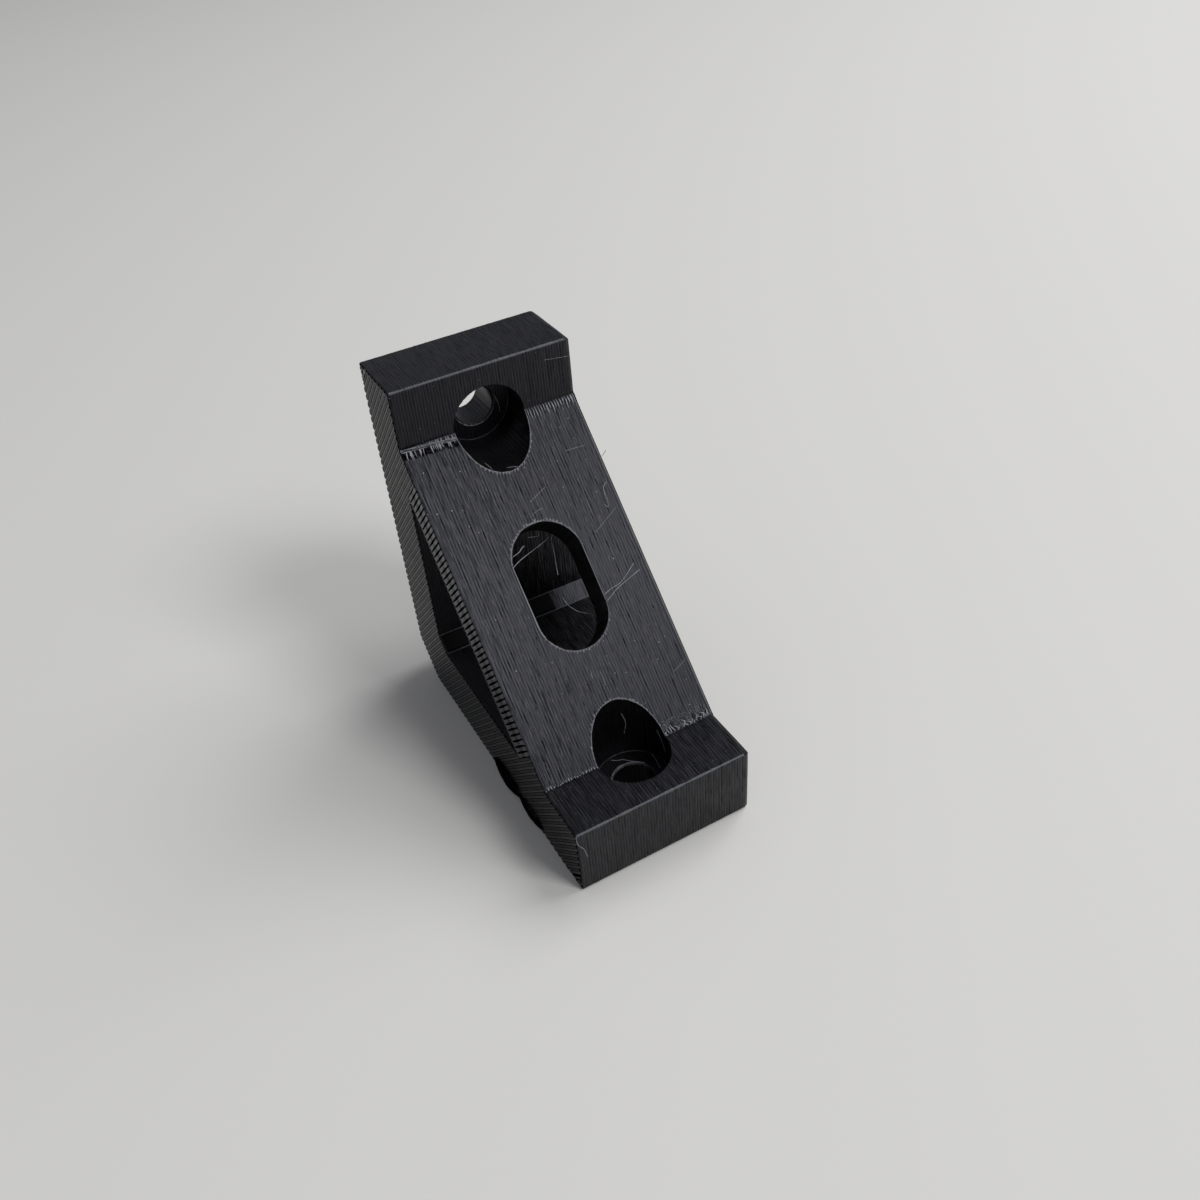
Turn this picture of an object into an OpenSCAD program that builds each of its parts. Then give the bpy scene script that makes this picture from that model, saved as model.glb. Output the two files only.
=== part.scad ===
// Right-angle corner bracket for channel and slotted profile, printed in one piece.
// Two equal legs meet at a bevelled heel and are braced by a sloping plate.
// Each leg's end is a bare foot with a bolt hole and a round well for the bolt's head.

/* [Legs] */

// Length of each leg, from the other leg's outer face to its own end
leg_length = 51; // [46:0.5:80]

// Width of the bracket across both legs
width = 25; // [18:0.5:40]

// Thickness of each leg
leg_thickness = 10.4; // [8:0.1:13]

// Bevel at the outer heel, where the legs meet
heel_bevel = 5; // [1:0.1:8]

// Small bevel on the corners of each leg's end
end_bevel = 0.3; // [0.1:0.05:1]

/* [Brace] */

// Length of each leg left bare beyond the brace
foot_length = 8; // [6:0.1:12]

// Thickness of the sloping plate, across its faces
brace_thickness = 5.4; // [3:0.1:8]

// Bevel in the inner corner of the triangular window
window_bevel = 2; // [0.5:0.1:4]

// Width of the round-ended slot in the plate
slot_width = 9.8; // [4:0.1:14]

// Length of the round-ended slot, along the slope
slot_length = 17.4; // [15:0.1:20]

/* [Bolts] */

// Distance of each bolt hole from its leg's end
bolt_inset = 8; // [6:0.1:12]

// Diameter of the bolt hole
bolt_diameter = 5.4; // [3:0.1:6]

// Diameter of the well for the bolt's head and its driver
head_diameter = 10; // [7:0.1:12]

// Depth of solid leg left under the bolt's head
head_seat = 5.4; // [3:0.1:7]

// Bevel at the mouth of the bolt hole, on the head's seat
mouth_bevel = 0.2; // [0.1:0.05:0.5]

/* [Hidden] */

$fn = 96;

// Overshoot of every cut beyond the faces it opens
over = 1;

// The brace's outer face runs through the points where x + z has this value
brace_sum = leg_thickness + leg_length - foot_length;

// The brace's inner face, likewise
window_sum = brace_sum - brace_thickness * sqrt(2);

// Height of the window's apex on the upright, and reach of its toe along the base
window_tip = window_sum - leg_thickness;

// Distance of each bolt axis from the other leg's outer face
bolt_station = leg_length - bolt_inset;

// Middle of the brace's outer face, in both x and z
brace_mid = brace_sum / 2;

// Angle of the brace's normal from the vertical
brace_tilt = 45;

// Outline of the bracket seen from its side: x along the base, y up the upright
module side_outline() {
    polygon([
        [heel_bevel, 0],
        [leg_length - end_bevel, 0],
        [leg_length, end_bevel],
        [leg_length, leg_thickness - end_bevel],
        [leg_length - end_bevel, leg_thickness],
        [leg_length - foot_length, leg_thickness],
        [leg_thickness, leg_length - foot_length],
        [leg_thickness, leg_length - end_bevel],
        [leg_thickness - end_bevel, leg_length],
        [end_bevel, leg_length],
        [0, leg_length - end_bevel],
        [0, heel_bevel]
    ]);
}

// Triangular window between the two legs and the brace, with its inner corner bevelled
module window_outline() {
    polygon([
        [leg_thickness + window_bevel, leg_thickness],
        [window_tip, leg_thickness],
        [leg_thickness, window_tip],
        [leg_thickness, leg_thickness + window_bevel]
    ]);
}

// Round-ended slot, long along x
module slot_outline() {
    reach = (slot_length - slot_width) / 2;
    for (end = [-reach, reach]) translate([end, 0]) circle(d = slot_width);
    square([2 * reach, slot_width], center = true);
}

// Bolt hole, bevelled mouth and head well, cut upwards from a leg's outer face
module bolt_cut() {
    translate([0, 0, -over]) cylinder(d = bolt_diameter, h = head_seat + 2 * over);
    translate([0, 0, head_seat - mouth_bevel])
        cylinder(d1 = bolt_diameter, d2 = bolt_diameter + 2 * mouth_bevel, h = mouth_bevel);
    translate([0, 0, head_seat]) cylinder(d = head_diameter, h = leg_length - head_seat);
}

// Slot through the brace, square to its faces
module slot_cut() {
    translate([brace_mid, 0, brace_mid]) rotate([0, brace_tilt, 0])
        translate([0, 0, -brace_thickness - over])
            linear_extrude(brace_thickness + 2 * over) slot_outline();
}

// Whole bracket: origin at the middle of its underside, base along x, upright at -x
module bracket() {
    color([0.055, 0.055, 0.06])
        translate([-leg_length / 2, 0, 0])
            difference() {
                rotate([90, 0, 0]) linear_extrude(width, center = true) side_outline();
                rotate([90, 0, 0]) linear_extrude(width + 2 * over, center = true) window_outline();
                translate([bolt_station, 0, 0]) bolt_cut();
                translate([0, 0, bolt_station]) rotate([0, 90, 0]) bolt_cut();
                slot_cut();
            }
}

bracket();
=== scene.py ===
import bpy
import numpy as np
from mathutils import Euler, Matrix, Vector


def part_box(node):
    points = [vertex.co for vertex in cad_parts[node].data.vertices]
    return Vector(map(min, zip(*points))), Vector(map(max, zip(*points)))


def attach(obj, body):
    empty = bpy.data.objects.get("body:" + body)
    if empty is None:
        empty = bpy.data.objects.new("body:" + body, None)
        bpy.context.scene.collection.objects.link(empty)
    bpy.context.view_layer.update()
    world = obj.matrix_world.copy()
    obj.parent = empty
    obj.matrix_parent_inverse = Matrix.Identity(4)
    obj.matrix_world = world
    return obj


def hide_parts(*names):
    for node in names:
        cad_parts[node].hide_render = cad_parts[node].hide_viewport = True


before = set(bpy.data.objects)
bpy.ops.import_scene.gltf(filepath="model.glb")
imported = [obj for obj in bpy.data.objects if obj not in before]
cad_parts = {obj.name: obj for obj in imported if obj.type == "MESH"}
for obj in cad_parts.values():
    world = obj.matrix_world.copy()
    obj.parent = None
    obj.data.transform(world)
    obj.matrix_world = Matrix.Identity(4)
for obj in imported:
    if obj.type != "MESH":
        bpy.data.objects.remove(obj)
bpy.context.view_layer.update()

bl_info = {
    "name": "Channel corner bracket",
    "version": (1, 0, 0),
    "blender": (4, 5, 0),
    "location": "3D View > Sidebar > Bracket",
    "description": "Printed surface of a corner bracket, its stray plastic and a plain stage",
    "category": "Object",
}

# Points and lengths of the stray plastic are written in millimetres
MM = 0.001

NODE = "bracket"
BODY = "root"

# A fixed seed, so that every run gives the same print
SEED = 7

# The node's corners in the shared frame: back, left and underside, then toe, right and top
LOW, HIGH = (np.array(corner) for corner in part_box(NODE))


def length_property(name, metres, description):
    """A length in metres, which the panel shows in the scene's own unit."""
    return bpy.props.FloatProperty(name=name, description=description, default=metres, unit="LENGTH")


def colour_property(name, code, description):
    """A colour as an sRGB hex value."""
    return bpy.props.StringProperty(name=name, description=description, default=code)


class BracketSizes(bpy.types.PropertyGroup):
    """Sizes of the print that the surface pieces need."""

    leg_thickness: length_property("Leg thickness", 0.0104, "Thickness of each leg")
    foot_length: length_property("Foot", 0.008, "Length of each leg left bare beyond the brace")
    heel_bevel: length_property("Heel bevel", 0.005, "Bevel at the outer heel")
    brace_thickness: length_property("Brace thickness", 0.0054, "Thickness of the sloping plate")
    window_bevel: length_property("Window bevel", 0.002, "Bevel in the window's inner corner")
    slot_width: length_property("Slot width", 0.0098, "Width of the slot in the brace")
    slot_length: length_property("Slot length", 0.0174, "Length of the slot along the slope")
    bolt_inset: length_property("Bolt inset", 0.008, "Bolt hole's distance from its leg's end")
    bolt_diameter: length_property("Bolt hole", 0.0054, "Diameter of the bolt hole")
    head_diameter: length_property("Head well", 0.01, "Diameter of the well for a bolt's head")
    head_seat: length_property("Head seat", 0.0054, "Depth of leg left under a bolt's head")
    layer: length_property("Layer", 0.0002, "Height of one printed layer, across the width")
    groove: length_property("Groove", 0.000032, "Depth of the groove between two layers")
    wander: length_property("Wander", 0.00002, "How far a layer may lie inside its face")
    lean: bpy.props.FloatProperty(
        name="Lean", description="Usual slope of one layer against its face", default=0.035)
    line_spacing: length_property("Skin line", 0.000389, "Spacing of the side skin's lines")
    skin: length_property("Skin depth", 0.00014, "Depth of the lines laid on each side")
    bed_round: length_property("Bed rounding", 0.00085, "Radius of the edges next to the print bed")
    wall_line: length_property("Wall line", 0.00042, "Width of the line around each outline")


class BracketColours(bpy.types.PropertyGroup):
    """Colours as sRGB hex values."""

    plastic: colour_property("Plastic", "#070708", "Black plastic of the print")
    sheen: colour_property("Sheen", "#eff0ff", "Faint cool tint of the plastic's reflections")
    # painted highlight: the raised lines are black plastic drawn paler where light catches them
    line: colour_property("Line", "#65666b", "Thin raised lines, a little paler than the body")
    # painted highlight: edges drawn paler where light catches their rounding
    edge: colour_property("Edge", "#4b4c51", "Edges painted paler than the faces beside them, as highlights")
    # the same pale colour also paints the highlights on the brace's line ends and crest
    strand: colour_property("Strand", "#85868b", "Thin strings, paler because light passes through them")
    dust: colour_property("Dust", "#c4c4c2", "Pale dust caught on the print")
    floor: colour_property("Floor", "#d1d0cc", "Plain pale floor")
    sky: colour_property("Sky", "#f4f6ff", "Faint cool light from all around")


def linear(hex_colour):
    """An sRGB hex value as linear red, green, blue and alpha, by the sRGB curve."""
    code = np.array([int(hex_colour[at:at + 2], 16) for at in (1, 3, 5)]) / 255
    rgb = np.where(code <= 0.04045, code / 12.92, ((code + 0.055) / 1.055) ** 2.4)
    return (*rgb.tolist(), 1.0)


def add_node(tree, kind, inputs=None, **settings):
    """One node with its settings. Each input is a constant, or a socket that is linked into it."""
    node = tree.nodes.new(kind)
    for name, value in settings.items():
        setattr(node, name, value)
    for name, value in (inputs or {}).items():
        if isinstance(value, bpy.types.NodeSocket):
            tree.links.new(value, node.inputs[name])
        else:
            node.inputs[name].default_value = value
    return node


def new_material(name):
    """An empty node material."""
    material = bpy.data.materials.new(name)
    material.use_nodes = True
    material.node_tree.nodes.clear()
    return material


def surfaced(material, inputs):
    """The material with one Principled surface, which takes these inputs."""
    surface = add_node(material.node_tree, "ShaderNodeBsdfPrincipled", inputs)
    add_node(material.node_tree, "ShaderNodeOutputMaterial", {"Surface": surface.outputs["BSDF"]})
    return material


def printed_material(name, axis, pitch, first, along, lean, dull, ior, reach=np.inf):
    """Black PLA laid down hot in lines: glossy, near black, with a sheen that changes from line to line.

    The lines lie a pitch apart along the axis, the first one starting at the level first. Each line has
    noise of its own, drawn out along it, that leans its surface towards its neighbours and makes it brighter
    or duller. Every second line is duller by the given part. Further than the reach from the frame's origin,
    along the axis, there is no sheen at all.
    """
    material = new_material(name)
    tree = material.node_tree
    colour = bpy.context.scene.bracket_colours

    def number(operation, *values, **settings):
        """The result of an operation on numbers."""
        node = add_node(tree, "ShaderNodeMath", dict(enumerate(values)), operation=operation, **settings)
        return node.outputs["Value"]

    def vector(operation, inputs, result="Vector"):
        """The result of an operation on vectors."""
        return add_node(tree, "ShaderNodeVectorMath", inputs, operation=operation).outputs[result]

    place = add_node(tree, "ShaderNodeTexCoord").outputs["Object"]
    level = vector("DOT_PRODUCT", {0: place, 1: tuple(np.array(axis) / pitch)}, "Value")
    line = number("FLOOR", number("SUBTRACT", level, first / pitch))
    # far enough apart that neighbouring lines share no noise
    apart = 9.7
    shift = vector("SCALE", {0: tuple(apart * np.array(axis)), "Scale": line})
    drawn = vector("SCALE", {0: place, "Scale": 1 / along})
    streak = add_node(tree, "ShaderNodeTexNoise", {"Vector": vector("ADD", {0: shift, 1: drawn}), "Scale": 1,
                                                   "Detail": 3, "Roughness": 0.55}).outputs["Fac"]

    def spread(low, high, least, most):
        """The noise between low and high stretched over least to most."""
        node = add_node(tree, "ShaderNodeMapRange", {"Value": streak, "From Min": low, "From Max": high,
                                                     "To Min": least, "To Max": most})
        return node.outputs["Result"]

    # most of the noise lies in this range
    usual = (0.36, 0.64)
    # every second line is duller: single lines are too fine to show from the camera's distance
    duller = number("MULTIPLY", number("FLOORED_MODULO", line, 2), -dull)
    gleam = number("ADD", spread(*usual, 0.57, 0.8), duller, use_clamp=True)
    # past the reach there is no sheen: painted shade in the deep grooves between the skin's lines
    if np.isfinite(reach):
        gleam = number("MULTIPLY", gleam, number("LESS_THAN", number("ABSOLUTE", level), reach / pitch))
    swing = vector("SCALE", {0: tuple(axis), "Scale": spread(*usual, -lean, lean)})
    upright = add_node(tree, "ShaderNodeNewGeometry").outputs["Normal"]
    return surfaced(material, {
        "Base Color": linear(colour.plastic), "IOR": ior, "Roughness": spread(0.3, 0.7, 0.26, 0.4),
        "Specular IOR Level": gleam, "Specular Tint": linear(colour.sheen),
        "Normal": vector("NORMALIZE", {0: vector("ADD", {0: upright, 1: swing})})})


def layer_material(name, sizes):
    """The same with the lines of the print's layers, one above the other across the width.

    The inside that shows between the skins' lines gets no sheen: painted shade in those deep grooves.
    """
    hair = 0.01 * MM
    inside = HIGH[1] - sizes.skin - hair
    return printed_material(name, (0, 1, 0), sizes.layer, LOW[1], along=2.4 * MM, lean=0.17, dull=0.3,
                            ior=1.4, reach=inside)


def plain_material(name, hex_colour, roughness, ior):
    """One even colour with a plain sheen."""
    inputs = {"Base Color": linear(hex_colour), "Roughness": roughness, "IOR": ior}
    return surfaced(new_material(name), inputs)


def finish_piece(name, shape, material, crease=None):
    """Puts a shape's points, corners and face sizes into the scene as a piece of the print, at the origin.

    Edges that turn by more than the crease stay sharp. Without a crease all of them are smooth.
    """
    mesh = mesh_from_faces(name, *shape)
    if crease:
        mesh.set_sharp_from_angle(angle=crease)
    mesh.materials.append(material)
    piece = bpy.data.objects.new(name, mesh)
    bpy.context.scene.collection.objects.link(piece)
    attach(piece, BODY)
    return piece


def mesh_from_faces(name, points, corners, sizes):
    """A mesh from its points, the faces' corners in one run, and each face's number of corners."""
    mesh = bpy.data.meshes.new(name)
    mesh.vertices.add(len(points))
    mesh.vertices.foreach_set("co", np.asarray(points, dtype=np.float32).ravel())
    mesh.loops.add(len(corners))
    mesh.loops.foreach_set("vertex_index", np.asarray(corners, dtype=np.int32))
    mesh.polygons.add(len(sizes))
    starts = np.concatenate([[0], np.cumsum(sizes)[:-1]])
    mesh.polygons.foreach_set("loop_start", starts.astype(np.int32))
    mesh.update(calc_edges=True)
    mesh.validate()
    return mesh


def full_turn(count):
    """Angles spread evenly over a full turn."""
    return np.arange(count) * 2 * np.pi / count


def sweep(paths, radii, up, flat=1.0, sides=8, closed=False):
    """Round or flattened cords: an ellipse carried along each path.

    paths holds cords x stations x 3, radii cords x stations. The ellipse's wide way lies square to the path
    and to up, its narrow way, flat times as tall, along up. Open cords get a flat cap at each end.
    Gives points, corners and face sizes.
    """
    cords, stations = radii.shape
    if closed:
        step = np.roll(paths, -1, axis=1) - np.roll(paths, 1, axis=1)
    else:
        step = np.gradient(paths, axis=1)
    step /= np.linalg.norm(step, axis=2, keepdims=True)
    wide = np.cross(step, np.broadcast_to(up, paths.shape))
    wide /= np.linalg.norm(wide, axis=2, keepdims=True)
    tall = np.cross(wide, step)
    turn = full_turn(sides)
    ring = (np.cos(turn)[:, None] * wide[:, :, None] + flat * np.sin(turn)[:, None] * tall[:, :, None])
    points = paths[:, :, None] + radii[:, :, None, None] * ring
    at = np.arange(cords * stations * sides).reshape(cords, stations, sides)
    here = at if closed else at[:, :-1]
    ahead = np.roll(at, -1, axis=1) if closed else at[:, 1:]
    quads = np.stack([here, ahead, np.roll(ahead, -1, axis=2), np.roll(here, -1, axis=2)], axis=-1)
    corners = [quads.ravel()]
    sizes = [np.full(quads.size // 4, 4)]
    if not closed:
        caps = np.concatenate([at[:, 0], at[:, -1, ::-1]])
        corners.append(caps.ravel())
        sizes.append(np.full(len(caps), sides))
    return points.reshape(-1, 3), np.concatenate(corners), np.concatenate(sizes)


def join(parts):
    """Several sets of points, corners and face sizes as one."""
    counts = np.cumsum([0] + [len(points) for points, _, _ in parts])
    return (np.concatenate([points for points, _, _ in parts]),
            np.concatenate([corners + start for (_, corners, _), start in zip(parts, counts)]),
            np.concatenate([sizes for _, _, sizes in parts]))


def smooth_path(points, stations):
    """A curve through given points: a Catmull-Rom spline sampled at even steps of its parameter."""
    points = np.asarray(points, dtype=float)
    ends = np.concatenate([[2 * points[0] - points[1]], points, [2 * points[-1] - points[-2]]])
    place = np.linspace(0, len(points) - 1, stations)
    span = np.minimum(place.astype(int), len(points) - 2)
    t = (place - span)[:, None]
    before, start, end, after = (ends[span + shift] for shift in range(4))
    return 0.5 * (2 * start + (end - before) * t + (2 * before - 5 * start + 4 * end - after) * t ** 2
                  + (3 * start - before - 3 * end + after) * t ** 3)


def brace_sum(sizes):
    """The brace's outer face runs where reach from the back plus height has this value."""
    return sizes.leg_thickness + (HIGH[2] - LOW[2]) - sizes.foot_length


def brace_half(sizes):
    """Half of the brace's length down its slope."""
    return (brace_sum(sizes) - 2 * sizes.leg_thickness) / np.sqrt(2)


def on_brace_axes():
    """The brace's own axes: down the slope, across, and out of its outer face."""
    half = np.sqrt(0.5)
    return np.array([[half, 0, -half], [0, 1, 0], [half, 0, half]])


def brace_middle(sizes):
    """Middle of the brace's outer face."""
    return np.array([LOW[0] + brace_sum(sizes) / 2, 0, LOW[2] + brace_sum(sizes) / 2])


def on_brace(sizes, points):
    """Points given down the slope, across and out from the middle of the brace's outer face."""
    return brace_middle(sizes) + np.asarray(points, dtype=float) @ on_brace_axes()


def from_brace(sizes, points):
    """The same the other way: how far down, across and out each point lies."""
    return on_brace_axes() @ (points - brace_middle(sizes)).T


def side_outline(sizes):
    """Corners of the bracket's side, counter-clockwise seen with x to the right and z up."""
    length = HIGH[0] - LOW[0]
    thick = sizes.leg_thickness
    bare = length - sizes.foot_length
    corners = [[sizes.heel_bevel, 0], [length, 0], [length, thick], [bare, thick], [thick, bare],
               [thick, length], [0, length], [0, sizes.heel_bevel]]
    return np.array(corners) + LOW[[0, 2]]


def window_outline(sizes):
    """Corners of the triangular window, the same way round."""
    thick = sizes.leg_thickness
    tip = brace_sum(sizes) - sizes.brace_thickness * np.sqrt(2) - thick
    corners = [[thick + sizes.window_bevel, thick], [tip, thick], [thick, tip],
               [thick, thick + sizes.window_bevel]]
    return np.array(corners) + LOW[[0, 2]]


def inset(outline, distance):
    """The outline with each edge moved inwards and met with the next one."""
    edge = np.roll(outline, -1, axis=0) - outline
    edge /= np.linalg.norm(edge, axis=1, keepdims=True)
    inward = np.stack([-edge[:, 1], edge[:, 0]], axis=1)
    before = np.roll(inward, 1, axis=0)
    return outline + distance * (inward + before) / (1 + np.sum(inward * before, axis=1, keepdims=True))


def layered_wall(level, layer, groove, wander, lean):
    """Depth and slope of the layered wall at a level across the width.

    Each layer bulges as half an ellipse between two seams, lies inside the face by its own wander and leans
    by its own slope. The ellipse's slope is held back near a seam, where it is upright.
    """
    steepest = 0.93
    place = (level - LOW[1]) / layer
    number = np.clip(place.astype(int), 0, len(wander) - 1)
    swing = np.clip(2 * (place - number) - 1, -1, 1)
    held = np.clip(swing, -steepest, steepest)
    depth = groove * (1 - np.sqrt(1 - swing ** 2)) + wander[number] + lean[number] * swing * layer / 2
    return depth, groove * held / np.sqrt(1 - held ** 2) * 2 / layer + lean[number]


def bed_inset(sizes, level):
    """How far the walls draw in next to the print bed, by a quarter round, and the slope of that."""
    radius = sizes.bed_round
    # just short of the full quarter, where the slope has no end
    most = 0.98 * radius
    rise = np.clip(radius - (HIGH[1] - level), 0, most)
    left = np.sqrt(radius ** 2 - rise ** 2)
    return radius - left, rise / left


def merged_corners(mesh):
    """A mesh's triangles on shared points, with a smooth normal for each corner of each triangle."""
    mesh.calc_loop_triangles()
    points = np.empty(len(mesh.vertices) * 3)
    mesh.vertices.foreach_get("co", points)
    faces = np.empty(len(mesh.loop_triangles) * 3, dtype=int)
    mesh.loop_triangles.foreach_get("vertices", faces)
    grid = 1e-7
    _, first, back = np.unique(np.round(points.reshape(-1, 3) / grid), axis=0, return_index=True,
                               return_inverse=True)
    points = points.reshape(-1, 3)[first]
    faces = back.ravel()[faces].reshape(-1, 3)
    kept = (faces != np.roll(faces, 1, axis=1)).all(axis=1)
    faces = faces[kept]
    scratch = mesh_from_faces("scratch", points, faces.ravel(), np.full(len(faces), 3))
    crease = np.radians(20)
    scratch.set_sharp_from_angle(angle=crease)
    normals = np.empty(len(faces) * 9)
    scratch.corner_normals.foreach_get("vector", normals)
    bpy.data.meshes.remove(scratch)
    return points, faces, normals.reshape(-1, 3, 3)


def slice_up(points, faces, normals, levels, cuts):
    """Triangles cut into strips where a level, one value per point, passes each of the cuts.

    Sorted by level, a triangle has one long edge and a chain of two short ones. A strip between two planes
    takes its four corners from the long edge and the chain, and the middle corner too where it falls in the
    strip. Gives the points, corners, face sizes, and each corner's normal and the middle level of its strip.
    """
    order = np.argsort(levels[faces], axis=1, kind="stable")
    low, mid, top = np.take_along_axis(faces, order, axis=1).T
    low_n, mid_n, top_n = (normals[np.arange(len(faces)), order[:, at]] for at in range(3))
    # an odd sorting order, read here as a number in base three, turns a triangle over
    turned = np.isin(order @ np.array([9, 3, 1]), [7, 11, 21])
    first = np.searchsorted(cuts, levels[low])
    last = np.searchsorted(cuts, levels[top])
    count = last - first + 1
    owner = np.repeat(np.arange(len(faces)), count)
    strip = np.arange(len(owner)) - np.repeat(np.cumsum(count) - count, count) + first[owner]
    low, mid, top, turned = low[owner], mid[owner], top[owner], turned[owner]
    low_n, mid_n, top_n = low_n[owner], mid_n[owner], top_n[owner]
    walls = np.concatenate([[-np.inf], cuts, [np.inf]])
    floor, roof = walls[strip], walls[strip + 1]

    def on_edge(start, end, start_n, end_n, level, plane):
        """Where an edge meets a plane; past its ends the edge's own corner is taken."""
        rise = levels[end] - levels[start]
        part = (level - levels[start]) / np.where(rise > 0, rise, 1)
        part = np.where(rise > 0, np.clip(part, 0, 1), np.where(level > levels[start], 1.0, 0.0))
        key = np.stack([np.minimum(start, end), np.maximum(start, end), plane], axis=1)
        key = np.where((part <= 0)[:, None], np.stack([start, start, 0 * plane - 1], axis=1), key)
        key = np.where((part >= 1)[:, None], np.stack([end, end, 0 * plane - 1], axis=1), key)
        place = points[start] + part[:, None] * (points[end] - points[start])
        return key, place, start_n + part[:, None] * (end_n - start_n)

    def on_chain(level, plane):
        """The same on the two short edges, whichever the plane meets."""
        lower = on_edge(low, mid, low_n, mid_n, level, plane)
        upper = on_edge(mid, top, mid_n, top_n, level, plane)
        under = (level <= levels[mid])[:, None]
        return tuple(np.where(under, one, two) for one, two in zip(lower, upper))

    corner_sets = [on_edge(low, top, low_n, top_n, floor, strip), on_chain(floor, strip),
                   on_edge(mid, mid, mid_n, mid_n, levels[mid], strip),
                   on_chain(roof, strip + 1), on_edge(low, top, low_n, top_n, roof, strip + 1)]
    keys = np.stack([one[0] for one in corner_sets], axis=1)
    places = np.stack([one[1] for one in corner_sets], axis=1)
    corner_normals = np.stack([one[2] for one in corner_sets], axis=1)
    used = np.ones(keys.shape[:2], dtype=bool)
    used[:, 2] = (levels[mid] >= floor) & (levels[mid] <= roof)
    for at in range(1, len(corner_sets)):
        for other in range(at):
            used[:, at] &= ~(used[:, other] & (keys[:, at] == keys[:, other]).all(axis=1))
    for block in (keys, places, corner_normals, used):
        block[turned] = block[turned, ::-1]
    used &= used.sum(axis=1, keepdims=True) > 2
    _, where, corners = np.unique(keys[used], axis=0, return_index=True, return_inverse=True)
    sizes = used.sum(axis=1)
    middle = (np.maximum(floor, levels[low]) + np.minimum(roof, levels[top])) / 2
    return (places[used][where], corners.ravel(), sizes[sizes > 0], corner_normals[used],
            np.repeat(middle, sizes))


def fan(corners, sizes, normals):
    """Faces as triangles, each face opened like a fan from its first corner."""
    start = np.repeat(np.cumsum(sizes) - sizes, sizes - 2)
    blade = np.arange(len(start)) - np.repeat(np.cumsum(sizes - 2) - (sizes - 2), sizes - 2) + 1
    at = np.stack([start, start + blade, start + blade + 1], axis=1)
    return corners[at], normals[at]


def hump(value, width):
    """A rounded hump, one at zero, by the bell curve."""
    return np.exp(-(value / width) ** 2)


class JunctionRelief:
    """Rough ends of the brace, where its lines turn at the two feet.

    At the upper left a wavy crest stands over a hollow that a few strands cross. At the upper right, and at
    the lower end, single lines run on by lengths of their own and end in ticks.
    """

    # distances down from the upper end, or up from the lower end, at which the face is cut, in millimetres
    upper_cuts = (0.08, 0.2, 0.32, 0.45, 0.58, 0.7, 0.84, 1.0, 1.2, 1.4, 1.65, 1.9)
    lower_cuts = (0.08, 0.18, 0.32, 0.5, 0.75, 1.0, 1.3)

    def __init__(self, sizes, rng):
        self.half = brace_half(sizes)
        self.well = sizes.head_diameter / 2
        self.pitch = 2 * sizes.layer
        count = int((HIGH[1] - LOW[1]) / self.pitch) + 2
        self.reach = rng.uniform(0.5, 1.8, (2, count)) * MM
        self.rise = rng.uniform(0.2, 1.0, (2, count))
        self.strands = rng.uniform(LOW[1], -self.well, 20)
        self.phase = rng.uniform(0, 2 * np.pi, 4)

    def cuts(self):
        """Levels down the slope at which the brace's face needs points."""
        upper = np.array(self.upper_cuts) * MM - self.half
        return np.concatenate([upper, self.half - np.array(self.lower_cuts)[::-1] * MM])

    def ticks(self, away, across, row):
        """Lines that end at random distances: a hump over each line, faded out past its own length."""
        place = (across - LOW[1]) / self.pitch
        number = np.clip(place.astype(int), 0, self.reach.shape[1] - 1)
        ridge = np.sin(np.pi * (place - number)) ** 2
        fade = np.clip((self.reach[row, number] - away) / (0.3 * MM), 0, 1)
        start = np.clip(away / (0.12 * MM), 0, 1)
        return self.rise[row, number] * ridge * fade * start

    def height(self, down, across):
        """Height over the flat face, down the slope and across, in metres."""
        upper, lower = down + self.half, self.half - down
        blend = 0.3 * MM
        left = np.clip((-self.well - across) / blend, 0, 1)
        right = np.clip((across - self.well) / blend, 0, 1)
        part = (across - LOW[1]) / (-self.well - LOW[1])
        slow = np.sin(across / (0.9 * MM) + self.phase[0])
        wave = slow + 0.6 * np.sin(across / (0.37 * MM) + self.phase[1])
        crest = (0.3 + 0.5 * part + 0.05 * wave) * MM
        strand = hump(across[..., None] - self.strands, 0.09 * MM).max(axis=-1)
        ridge = (0.26 + 0.05 * wave) * MM * hump(upper - crest, 0.17 * MM)
        hollow = 0.45 * MM * (1 - 0.9 * strand) * hump(upper - crest - 0.6 * MM, 0.26 * MM)
        lip = 0.1 * MM * hump(lower - 0.18 * MM, 0.12 * MM)
        on_end = np.clip(upper / (0.1 * MM), 0, 1) * np.clip(lower / (0.06 * MM), 0, 1)
        return on_end * (left * (ridge - hollow + lip) + 0.06 * MM * right * self.ticks(upper, across, 0)
                         + 0.12 * MM * right * self.ticks(lower, across, 1))


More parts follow.
